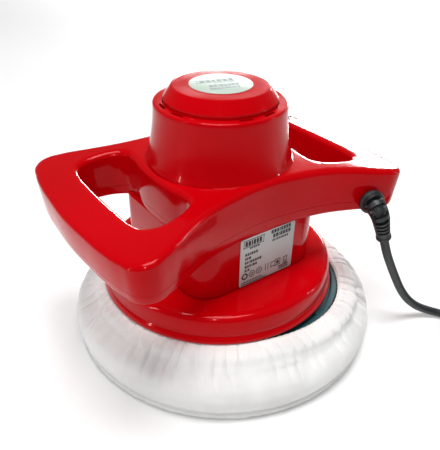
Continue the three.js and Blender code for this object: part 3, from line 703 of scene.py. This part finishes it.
# skirt, cap, badge and rating plate
skirtProfile = [
    (16, 64.6), (80, 64.2), (86.4, 63.2), (89, 60.6), (89.8, 56), (90.9, 50.5), (92.4, 45.5),
    (92.8, 45.3), (94.6, 45.35), (95, 45.8), (94.95, 46.8), (94.5, 48), (93.7, 49.6), (93.0, 50.6),
    (92.7, 51.1), (92.85, 51.6), (93.0, 52.4), (92.9, 55), (92.6, 58.5), (92.35, 60.9), (92.0, 62.8),
    (91.3, 64.5), (90.3, 65.6), (88.9, 66.3), (87, 66.75), (85, 67), (60, 67.1), (16, 67.2),
]
capProfile = [
    (0, 199.8), (33.5, 199.8), (38.5, 193.4), (38.5, 186.1), (41.1, 186.1), (41.1, 193.4),
    (41.05, 193.9), (40.75, 194.3), (35.7, 201.5), (35.2, 202.05), (34.5, 202.35), (33.6, 202.4),
    (23.4, 202.4), (0, 202.4),
]
badgeShape = {"radius": 22.6, "low": 202.45, "high": 202.75, "inkTurn": -16}
plateShape = {"middleX": 3.5, "halfWide": 25.4, "low": 68.4, "high": 110, "front": -57.95, "thick": 0.5,
              "corner": 1.6}

ink = {"thick": 0.05, "spreadWide": 1.04, "spreadHigh": 1.2, "edgeShare": 0.22}


def skirtPiece():
    skirt = turn("skirt_shell", skirtProfile, 160)
    holes = [rod(x, y, 2.3, 61, 70, 20) for x, y in skirtSpots()]
    combine(skirt, joinAll(holes, "skirt_holes"))
    return dress(skirt, red, "housing", ["skirt"], 50)


def capPiece():
    cap = turn("cap_shell", capProfile, 144)
    return dress(cap, red, "housing", ["top_cap"], 24)


def layInk(marks, title, onFace):
    marks = joinAll(marks, title)
    marks.matrix_world = onFace
    settlePlace(marks)
    return marks


def inkBars(title, bars, onFace):
    # printed marks: centre across and up, width, height, all on one face
    marks = []
    for across, up, wide, high in bars:
        size = (wide * ink["spreadWide"], high * ink["spreadHigh"], ink["thick"])
        marks.append(bar((across, up, 0), size, edge=min(wide, high) * ink["edgeShare"], segments=1))
    return layInk(marks, title, onFace)


def rings(title, spots, onFace):
    # printed round symbols: centre, outer and inner radius
    marks, half = [], ink["thick"] / 2
    for across, up, outer, inner in spots:
        section = [(inner, -half), (outer, -half), (outer, half), (inner, half)]
        marks.append(turn(title, section, 28, (across, up)))
    return layInk(marks, title, onFace)


def wordBars(start, up, high, widths, gap):
    # short strokes in a row, like unreadable small print
    bars, across = [], start
    for wide in widths:
        bars.append((across + wide / 2, up, wide, high))
        across += wide + gap
    return bars


def badgePieces():
    shape = badgeShape
    disc = turn("badge_disc", [
        (0, shape["low"]), (shape["radius"], shape["low"]), (shape["radius"], shape["high"] - 0.1),
        (shape["radius"] - 0.15, shape["high"]), (0, shape["high"]),
    ], 96)
    dress(disc, badgeSilver, "housing", ["top_badge"], 40)
    spot = Matrix.Translation((0, 0, (shape["high"] + 0.03) * mm)) @ Matrix.Rotation(
        math.radians(shape["inkTurn"]), 4, "Z")
    bars = [(0, 9.0, 31, 0.5), (0, 3.6, 33, 0.5), (-15.6, 6.3, 0.5, 5.6), (16, 6.3, 0.5, 5.6)]
    bars += wordBars(-13.8, 6.3, 3.8, [3.8, 3.6, 2.4, 3.8, 3.4, 3.6], 0.9)
    bars += wordBars(-4, 1.4, 1.3, [1.8, 1.4, 2.0, 1.6, 1.8, 1.4, 1.8], 0.5)
    bars += wordBars(-10, -4.2, 3.9, [2.5, 2.5, 1.0, 2.5, 2.5, 2.3, 2.5, 2.5], 0.5)
    bars += wordBars(-11.4, -10, 3.0, [2.0, 1.6, 0.8, 1.9, 1.6, 0.8, 1.8, 1.6, 1.8, 1.6, 1.8], 0.45)
    printed = inkBars("badge_print", bars, spot)
    dress(printed, badgeInk, "housing", angle=0)


def ratingPieces():
    shape = plateShape
    halfHigh = (shape["high"] - shape["low"]) / 2
    loop = roundedBox(shape["halfWide"], halfHigh, shape["corner"], 5)
    plate = flatSlab("rating_plate_blank", [loop], -shape["thick"] / 2, shape["thick"] / 2, 0.12, "VECTOR")
    stand = Matrix.Translation(Vector((shape["middleX"], shape["front"] + shape["thick"] / 2,
                                       (shape["low"] + shape["high"]) / 2)) * mm)
    stand = stand @ Matrix.Rotation(math.radians(90), 4, "X")
    plate.matrix_world = stand
    settlePlace(plate)
    dress(plate, labelSilver, "housing", ["rating_plate"], 40)
    face = stand @ Matrix.Translation((0, 0, (shape["thick"] / 2 + 0.03) * mm))
    bars = [(-13, 19.2, 18, 0.5), (-14, 13.4, 18, 0.5), (-22.6, 16.3, 0.5, 5.8), (-4.6, 16.3, 0.5, 5.8)]
    bars += wordBars(-21.4, 16.3, 3.4, [2.2, 2.2, 1.2, 2.2, 2.0, 2.2], 0.6)
    bars += wordBars(-17, 11.9, 1.3, [1.4, 1.0, 1.6, 1.2, 1.6], 0.5)
    bars += wordBars(2.4, 18.6, 2.7, [2.0, 2.2, 1.8, 0.9, 1.8, 2.0, 1.8, 2.0], 0.6)
    bars += wordBars(4.4, 14.6, 2.7, [2.0, 2.2, 0.8, 2.0, 2.0, 2.0, 2.2], 0.6)
    bars += wordBars(4.0, 10.9, 1.6, [1.3, 0.9, 0.5, 1.2, 1.2, 0.5, 1.4, 1.2, 1.3, 1.2], 0.5)
    ratingLines = [
        (7.0, [1.6, 1.3, 1.0, 1.8, 1.4, 1.6]), (3.4, [1.2, 1.2, 1.8]),
        (-0.2, [1.4, 1.2, 0.6, 1.8, 1.6, 1.6, 1.4, 1.8]), (-3.8, [1.7, 1.4, 1.4, 0.6, 1.8, 1.6]),
        (-7.2, [1.3, 0.8, 1.3]),
    ]
    for up, widths in ratingLines:
        bars += wordBars(-21, up, 1.9, widths, 0.55)
    for up, count in [(-17.6, 14), (-19.6, 17)]:
        bars += wordBars(-23.5, up, 1.0, [1.0 + 0.5 * ((3 * i) % 3) for i in range(count)], 0.4)
    bars += wordBars(12.5, -16.4, 1.3, [1.4, 1.8, 1.2, 1.5, 1.3], 0.5)
    bars += wordBars(12.5, -18.4, 1.0, [1.2, 0.9, 1.5, 1.2, 1.4, 1.1], 0.4)
    bars += [(-0.9, -11.4, 0.6, 5), (1.6, -11.4, 0.6, 5), (4.4, -11.4, 0.6, 4.4), (6.4, -9.4, 3.4, 0.6),
             (6.4, -13.4, 3.4, 0.6), (11.0, -8.6, 5.2, 0.6), (11.0, -14.0, 5.2, 0.6), (8.6, -11.3, 0.6, 5.4),
             (13.4, -11.3, 0.6, 5.4), (11, -11.3, 2.4, 2.4), (18.6, -9.2, 4.6, 0.6), (18.6, -12.8, 3.2, 0.6),
             (17, -11, 0.6, 3.6), (20.2, -11, 0.6, 3.6), (18.6, -14.6, 4.4, 0.9)]
    printed = inkBars("rating_print", bars, face)
    dress(printed, labelInk, "housing", angle=0)
    spots = [(-20.6, -12.2, 2.9, 1.6), (-14, -11.9, 2.9, 2.3), (-14, -11.9, 1.4, 0.8)]
    spots += [(-7.2, -11.6, 3.0, 2.4), (-7.2, -11.6, 1.5, 0.9)]
    symbols = rings("rating_symbols", spots, face)
    dress(symbols, labelInk, "housing", angle=0)


skirtPiece()
capPiece()
badgePieces()
ratingPieces()
print("skirt, cap, badge and rating plate made")


# the sleeve where the cord leaves the arm
gland = {
    "path": [
        (87.7, -71.8, 119.5), (85, -78.3, 119.5), (83.5, -82, 119.5), (82.6, -84, 119.5),
        (81.9, -86.3, 119.2), (81.3, -88.4, 118.3), (81.2, -90.4, 116.8), (81.3, -91.9, 115),
        (81.8, -92.9, 112.8), (82.6, -93.3, 110.6), (86.5, -93.6, 100.9), (90.4, -94, 91.2),
    ],
    "collarR": 9.7, "neckR": 8.3, "tipR": 5.3, "bore": 3.65,
    "slots": 7, "firstSlot": 15.4, "pitch": 3.9, "slotHigh": 2.0, "spine": 2.6,
}


def carryAlong(piece, path, length, twist=0.0):
    # a piece made upright follows a curve, turned about it by twist
    spots, _ = smoothPath(path, 200)
    step = length / (len(spots) - 1)
    turnBy = Quaternion((0, 0, 1), math.radians(twist))
    for vertex in piece.data.vertices:
        x, y, z = vertex.co / mm
        k = min(max(z / step, 0), len(spots) - 2)
        low = int(k)
        along = (spots[min(low + 2, len(spots) - 1)] - spots[max(low - 1, 0)]).normalized()
        side = (Vector((1, 0, 0)) - along * along.x).normalized()
        other = along.cross(side)
        flat = turnBy @ Vector((x, y, 0))
        spot = spots[low].lerp(spots[low + 1], min(k - low, 1))
        vertex.co = (spot + side * flat.x + other * flat.y) * mm
    piece.data.update()


def strainRelief():
    shape = gland
    _, length = smoothPath(shape["path"], 200)
    profile = [(shape["bore"], 0), (6, 0), (6, 2.2), (5.2, 2.6), (5.2, 8.7), (shape["collarR"] - 0.6, 9.0),
               (shape["collarR"], 9.5), (shape["collarR"], 11.5), (shape["collarR"] - 0.5, 12.1)]
    start, end = 12.6, length - 3.6
    for step in range(25):
        share = step / 24
        r = shape["neckR"] + (shape["tipR"] - shape["neckR"]) * share ** 0.8
        profile.append((r, start + (end - start) * share))
    profile += [
        (shape["tipR"] + 0.5, length - 3.0), (shape["tipR"] + 0.6, length - 1.0),
        (shape["tipR"] + 0.1, length - 0.3), (shape["bore"] + 0.6, length), (shape["bore"], length - 0.6),
    ]
    profile += [(shape["bore"], length * share) for share in (0.8, 0.6, 0.4, 0.2)]
    sleeve = turn("strain_relief_sleeve", profile, 56)
    slots = []
    for number in range(shape["slots"]):
        up = shape["firstSlot"] + number * shape["pitch"]
        for side in (-1, 1):
            slots.append(bar((side * (shape["spine"] + 6), 0, up), (12, 24, shape["slotHigh"]), edge=0.5))
    core = turn("core", [(0, -5), (4.9, -5), (4.3, length + 5), (0, length + 5)], 40)
    slots = joinAll(slots, "slots")
    combine(slots, core)
    combine(sleeve, slots)
    openForEdit(sleeve)
    for number in range(1, 30):
        bpy.ops.mesh.select_all(action="SELECT")
        bpy.ops.mesh.bisect(plane_co=(0, 0, (12 + number * 1.2) * mm), plane_no=(0, 0, 1))
    shut()
    tidyMesh(sleeve, 5e-6)
    carryAlong(sleeve, shape["path"], length, 118)
    return dress(sleeve, blackRubber, "housing", ["strain_relief"], 40)


strainRelief()
print("strain relief made")


# plug and tie
plugShape = {
    "spot": (240.5, -165, 21.8), "halfWide": 17.4, "halfThick": 6.9, "face": 38, "tail": -18,
    "grips": 5, "gripPitch": 3.2,
}
tieShape = {"ring": 40, "wide": 10.7, "top": 14.4, "band": 9, "turn": 120}


def plugPiece():
    shape = plugShape
    side = [(shape["halfWide"], shape["face"]), (shape["halfWide"], 18), (15.4, 10.5), (10.4, 5), (6.4, 1),
            (5.3, -6), (4.9, shape["tail"])]
    loop = side + [(-x, y) for x, y in side[::-1]]
    body = flatSlab("plug_shell", [loop], -shape["halfThick"], shape["halfThick"], 2.2, "VECTOR")
    grooves = []
    for number in range(shape["grips"]):
        y = 15 + number * shape["gripPitch"]
        for up in (-1, 1):
            grooves.append(bar((0, y, up * shape["halfThick"]), (24, 1.3, 1.4), edge=0.4))
    for number in range(4):
        y = -15 + number * 3.6
        for sx in (-1, 1):
            grooves.append(bar((sx * 6.4, y, 0), (5, 1.4, 20), edge=0.4))
    combine(body, joinAll(grooves, "grooves"))
    body.location = Vector(shape["spot"]) * mm
    settlePlace(body)
    return dress(body, blackRubber, "housing", ["plug_body"], 30)


def tiePiece():
    shape = tieShape
    halfWide, halfHigh, corner = shape["wide"] + 0.9, shape["top"] / 2 + 0.4, 4.5
    loop = roundedBox(halfWide, halfHigh, corner)
    points = [(x, -shape["band"] / 2, z + shape["top"] / 2 + 0.65) for x, z in loop]
    count = len(points)
    band = fromMesh("tie_band", points + [(x, -y, z) for x, y, z in points], (),
                    [(i, (i + 1) % count, count + (i + 1) % count, count + i) for i in range(count)])
    tidyMesh(band, 1e-6)
    applyModifier(band, "SOLIDIFY", thickness=0.55 * mm, offset=-1)
    buckle = bar((halfWide * 0.3, 0, shape["top"] + 0.75), (5, 6.6, 0.7), edge=0.2)
    band = joinAll([band, buckle], "tie_band")
    cx, cy = cordShape["coilCentre"]
    onCoil = Matrix.Translation((cx * mm, cy * mm, 0))
    onCoil = onCoil @ Matrix.Rotation(math.radians(shape["turn"]), 4, "Z")
    band.matrix_world = onCoil @ Matrix.Translation((shape["ring"] * mm, 0, 0))
    settlePlace(band)
    return dress(band, blackPlastic, "housing", ["coil_tie"])


plug = plugPiece()
tie = tiePiece()
print("plug and tie made")


# pad and bonnet, about the offset pin
padCentre = (4.05, -2.95)
bonnetShape = {
    "around": 960, "hemBase": 91.8, "hemOut": 7.0, "hemToward": -63, "hemSpread": 33, "thick": 0.5,
    "rows": 46, "pleats": 62, "fineFolds": 139, "pleatHigh": 3.9, "fineHigh": 1.5,
    "skirtReach": 101.5, "underSkirt": 44.7, "unrolled": 0.124,
    "top": [(17.8, 36.6), (13, 39.7), (8, 42), (4, 43.2), (1.4, 43.9), (0, 44)],
    "side": [(121.2, 6.8), (123.4, 9), (124.8, 12.5), (125.1, 17), (124.2, 21), (121.8, 25.5),
             (118, 29.8), (113.5, 33.6)],
}

plateRibs = {"count": 8, "start": 0.37, "radius": 54.2, "height": 40.2, "size": (76, 2.4, 3.2)}
hemShape = {"steps": 720, "sides": 10, "out": 0.1, "height": 43.6, "halfWide": 1.1, "halfHigh": 0.75,
            "puckers": 118}
seamShape = {"steps": 900, "sides": 8, "radius": 121.7, "height": 6.9, "thick": 0.62, "stitch": 0.16,
             "stitches": 150}


def aboutPin(radius, angle, height):
    return (padCentre[0] + radius * math.cos(angle), padCentre[1] + radius * math.sin(angle), height)


def backingPlate():
    plate = turn("plate_disc", [
        (8, 36), (96.4, 36), (97, 36.6), (97, 42.0), (96.6, 42.7), (95.6, 43), (94.3, 42.8), (92, 42.2),
        (91, 39.4), (17, 39.4), (17, 46.2), (16.7, 46.4), (11.4, 46.4), (11.3, 38.5), (8, 38.5),
    ], 128, padCentre)
    ribs = []
    for number in range(plateRibs["count"]):
        turnBy = 360 / plateRibs["count"] * (number + plateRibs["start"])
        spot = aboutPin(plateRibs["radius"], math.radians(turnBy), plateRibs["height"])
        ribs.append(bar(spot, plateRibs["size"], (0, 0, turnBy), 0.3))
    combine(plate, joinAll(ribs, "plate_ribs"), "UNION")
    return dress(plate, slate, "pad", ["backing_plate"])


def foamPad():
    foam = turn("foam_cushion", [
        (0, 5.2), (60, 5.2), (112, 5.2), (117.4, 6.2), (119.4, 9.4), (119.7, 13.5), (118.8, 18),
        (116.8, 22.6), (114, 27), (110.6, 31), (106.5, 34.6), (102.6, 37.4), (99.8, 39.3), (98.2, 40),
        (97.5, 39.6),
        (97.4, 35.7), (60, 35.7), (0, 35.7),
    ], 144, padCentre)
    for vertex in foam.data.vertices:
        lift = noise.noise(vertex.co * 90) * 0.35 * mm
        outward = Vector((vertex.co.x - padCentre[0] * mm, vertex.co.y - padCentre[1] * mm, 0))
        if 0.007 < vertex.co.z < 0.034 and outward.length > 0.1:
            vertex.co -= outward.normalized() * abs(lift)
    dress(foam, foamGrey, "pad", ["foam_pad"])
    return foam


def hemRadius(angle):
    away = (angle - math.radians(bonnetShape["hemToward"]) + math.pi) % (2 * math.pi) - math.pi
    bulge = math.exp(-(away / math.radians(bonnetShape["hemSpread"])) ** 2)
    return bonnetShape["hemBase"] + bonnetShape["hemOut"] * bulge


def wave(angle, scale, height=0.0):
    # uneven but closed on itself round the pad
    return noise.noise(Vector((math.cos(angle) * scale, math.sin(angle) * scale, height)))


def pleatHeight(angle, share):
    # rounded ridges with sharp valleys; share is 0 at the seam below and 1 at the hem
    shape = bonnetShape
    start = 0.3 + 0.12 * wave(angle, 9, 4)
    strength = ease(start, 0.66, share) * (1 - 0.55 * ease(0.84, 1, share))
    strength *= 0.75 + 0.6 * wave(angle, 7, 1)
    turns = shape["pleats"] * angle / math.pi / 2
    turns += 1.3 * wave(angle, 4, share * 0.7) + 0.35 * wave(angle, 11, share * 2)
    main = abs(math.sin(math.pi * turns)) ** 0.6
    fineTurns = shape["fineFolds"] * angle / math.pi / 2 + 1.2 * wave(angle, 6, 3 + share)
    fine = abs(math.sin(math.pi * fineTurns)) * ease(0.6, 0.9, share)
    return strength * (shape["pleatHigh"] * main + shape["fineHigh"] * fine)


def bandLine(angle):
    # the cloth from the seam over the crest to the hem, cut upright through the pin
    shape = bonnetShape
    hem = hemRadius(angle)
    edge = shape["side"][-1][0]
    top = [(hem + out, z) for out, z in shape["top"]]
    line = shape["side"] + [(r, z) for r, z in top if r < edge - 1.5]
    return smoothPath([(r, 0, z) for r, z in line], shape["rows"])


def foldPush(angle, share):
    # how far the cloth stands out from its line
    swell = 0.7 * wave(angle, 3, share * 2) + 0.45 * wave(angle, 16, share * 5 + 7)
    lower = min(share * 8, 1) * (1 - ease(0.6, 0.8, share))
    sink = 2.2 * ease(0.35, 0.6, share) * (1 - ease(0.66, 0.8, share))
    push = swell * lower - sink + pleatHeight(angle, share) * (0.8 if share > 0.9 else 1)
    most = 0.2 if share < 0.3 else 2.4
    least = -0.3 if share > 0.75 else -1.6
    return max(min(push, most), least)


def layWeave(band, threadPlaces):
    # lays the weave's UV map; the last column closes on the first
    shape = bonnetShape
    columnFaces = shape["rows"] - 1
    layer = band.data.uv_layers.new(name="weave")
    for face in band.data.polygons:
        closing = face.index // columnFaces == shape["around"] - 1
        for loopIndex in face.loop_indices:
            u, v = threadPlaces[band.data.loops[loopIndex].vertex_index]
            if closing and u < 0.1:
                u += 2 * math.pi * shape["unrolled"]
            layer.data[loopIndex].uv = (u, v)


def gatheredBand():
    shape = bonnetShape
    around, rows = shape["around"], shape["rows"]
    points, faces, threadPlaces, lengths = [], [], [], []
    for column in range(around):
        angle = 2 * math.pi * column / around
        spots, length = bandLine(angle)
        lengths.append(length)
        for row, spot in enumerate(spots):
            share = row / (rows - 1)
            along = (spots[min(row + 1, rows - 1)] - spots[max(row - 1, 0)]).normalized()
            push = foldPush(angle, share)
            r = spot.x + along.z * push
            z = spot.z - along.x * push
            if r < shape["skirtReach"]:
                z = min(z, shape["underSkirt"])
            points.append(aboutPin(r, angle, z))
            threadPlaces.append((angle * shape["unrolled"], share * length * mm))
    for column in range(around):
        near, far = column * rows, (column + 1) % around * rows
        faces += [(near + row, far + row, far + row + 1, near + row + 1) for row in range(rows - 1)]
    band = fromMesh("bonnet_band", points, (), faces)
    layWeave(band, threadPlaces)
    applyModifier(band, "SOLIDIFY", thickness=shape["thick"] * mm, offset=-1)
    return band, sum(lengths) / len(lengths)


def ropeRing(title, steps, sides, section):
    # a closed rope about the pin; section gives middle radius, height, half width, half height
    points, faces = [], []
    for step in range(steps):
        angle = 2 * math.pi * step / steps
        radius, height, halfWide, halfHigh = section(angle)
        for side in range(sides):
            b = 2 * math.pi * side / sides
            points.append(aboutPin(radius + halfWide * math.cos(b), angle, height + halfHigh * math.sin(b)))
    for step in range(steps):
        here, following = step * sides, (step + 1) % steps * sides
        for side in range(sides):
            beside = (side + 1) % sides
            faces.append((here + side, following + side, following + beside, here + beside))
    ring = fromMesh(title, points, (), faces)
    tidyMesh(ring, 1e-7)
    return ring


def hemSection(angle):
    # the rolled hem with the elastic inside it, puckered
    shape = hemShape
    pucker = 0.25 * math.sin(angle * shape["puckers"]) + 0.18 * wave(angle, 30, 2)
    halfWide = shape["halfWide"] + 0.5 * pucker
    halfHigh = shape["halfHigh"] + 0.35 * pucker
    return hemRadius(angle) + shape["out"], shape["height"], halfWide, halfHigh


def seamSection(angle):
    # a corded seam between the band and the polishing face, with its stitches
    shape = seamShape
    thick = shape["thick"] + shape["stitch"] * abs(math.sin(angle * shape["stitches"]))
    return shape["radius"], shape["height"], thick, thick


def terryFace():
    # the polishing face, with tufts at its edge
    face = turn("bonnet_pile", [
        (0, 0.15), (60, 0.1), (110, 0.1), (117, 0.2), (121, 0.7), (122.8, 2), (123.5, 3.8), (123, 5.4),
        (121.4, 6.4), (119.7, 6.5), (118.3, 4.9), (116, 4.3), (60, 4.3), (0, 4.3),
    ], 420, padCentre)
    for vertex in face.data.vertices:
        outward = Vector((vertex.co.x - padCentre[0] * mm, vertex.co.y - padCentre[1] * mm, 0))
        if outward.length > 0.118:
            tuft = noise.noise(vertex.co * 700) * 0.7 + noise.noise(vertex.co * 260) * 0.5
            vertex.co += outward.normalized() * min(tuft, 0.9) * mm
    return face


def bonnetPieces():
    band, wide = gatheredBand()
    dress(band, cottonWeave, "pad", ["bonnet"], 180)
    dress(terryFace(), terry, "pad", ["bonnet_face"], 60)
    elastic = ropeRing("bonnet_hem", hemShape["steps"], hemShape["sides"], hemSection)
    dress(elastic, cottonWeave, "pad", ["bonnet_elastic"], 180)
    seam = ropeRing("bonnet_seam", seamShape["steps"], seamShape["sides"], seamSection)
    dress(seam, cottonThread, "pad", angle=180)
    return wide


foamGrey = mouldedFinish("foam_grey", (60, 76, 80), (46, 60, 64), 0.95, 0.04, 1500, 0.0004)
cottonWeave = cottonFinish("cotton_weave", "weave")
cottonThread = cottonFinish("cotton_thread")
terry = cottonFinish("terry_pile", fuzz=0.0012)
backingPlate()
foamPad()
bandWide = bonnetPieces()
print("pad and bonnet made, band width:", round(bandWide, 1))


# finishes for the parts inside and underneath
insideFinishes = [
    (zinc, ["skirt_screw_", "handle_screw_", "bracket_screw_", "clamp_screw_"]),
    (zinc, ["motor_can", "retaining_screw"]),
    (steel, ["motor_shaft", "lower_bearing", "upper_bearing", "pad_bearing", "brush_spring_"]),
    (castIron, ["armature_core", "counterweight"]),
    (copperWire, ["windings", "commutator"]),
    (brass, ["brush_holder_", "plug_pin_"]),
    (magnetGrey, ["magnet_"]),
    (carbon, ["brush_left", "brush_right"]),
    (circuitBoard, ["rectifier_board"]),
    (blackPlastic, ["motor_bracket", "motor_end_cap", "cooling_fan", "cord_clamp", "switch_"]),
    (blackRubber, ["mains_lead", "switch_lead"]),
]
for finish, starts in insideFinishes:
    for title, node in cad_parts.items():
        if any(title.startswith(start) for start in starts):
            node.data.materials.clear()
            node.data.materials.append(finish)
print("inside parts finished")


# floor and light
lightSetup = [
    # name, spot, aim, width, height, watts
    ("window_behind", (2.3, 2.08, 0.58), (0, 0, 0.14), 2.4, 0.38, 115),
    ("ceiling_panel", (-0.1, -0.1, 1.7), (0, 0, 0.1), 0.9, 0.7, 25),
    ("left_strip", (-1.4, 0.1, 0.6), (0, 0, 0.08), 0.05, 0.9, 5),
    ("front_strip", (-0.66, -0.86, 1.02), (0, 0, 0.16), 0.04, 0.5, 3),
    ("right_strip", (1.2, -0.7, 0.5), (0, 0, 0.08), 0.03, 0.8, 2.4),
]


def lightScene():
    clearSelection()
    bpy.ops.mesh.primitive_plane_add(size=24, location=(0, 0, -0.0002))
    floor = name(bpy.context.object, "floor")
    settlePlace(floor)
    floorFinish = newFinish("pale_floor", (242, 242, 242), 0.7)
    shadeRange(floorFinish, cloudy(floorFinish, 1.5), (240, 240, 240), (244, 244, 244))
    floor.data.materials.append(floorFinish)
    for title, spot, aim, wide, high, watts in lightSetup:
        bpy.ops.object.light_add(type="AREA", location=spot)
        lamp = name(bpy.context.object, title)
        lamp.data.shape = "RECTANGLE"
        lamp.data.size, lamp.data.size_y, lamp.data.energy = wide, high, watts
        lamp.rotation_euler = (Vector(aim) - Vector(spot)).to_track_quat("-Z", "Y").to_euler()
    world = bpy.data.worlds.new("studio")
    scene.world = world
    world.use_nodes = True
    sky = world.node_tree.nodes["Background"]
    sky.inputs["Color"].default_value = (1, 1, 1, 1)
    sky.inputs["Strength"].default_value = 0.16
    scene.view_settings.view_transform = "Standard"


lightScene()
print("lights set")
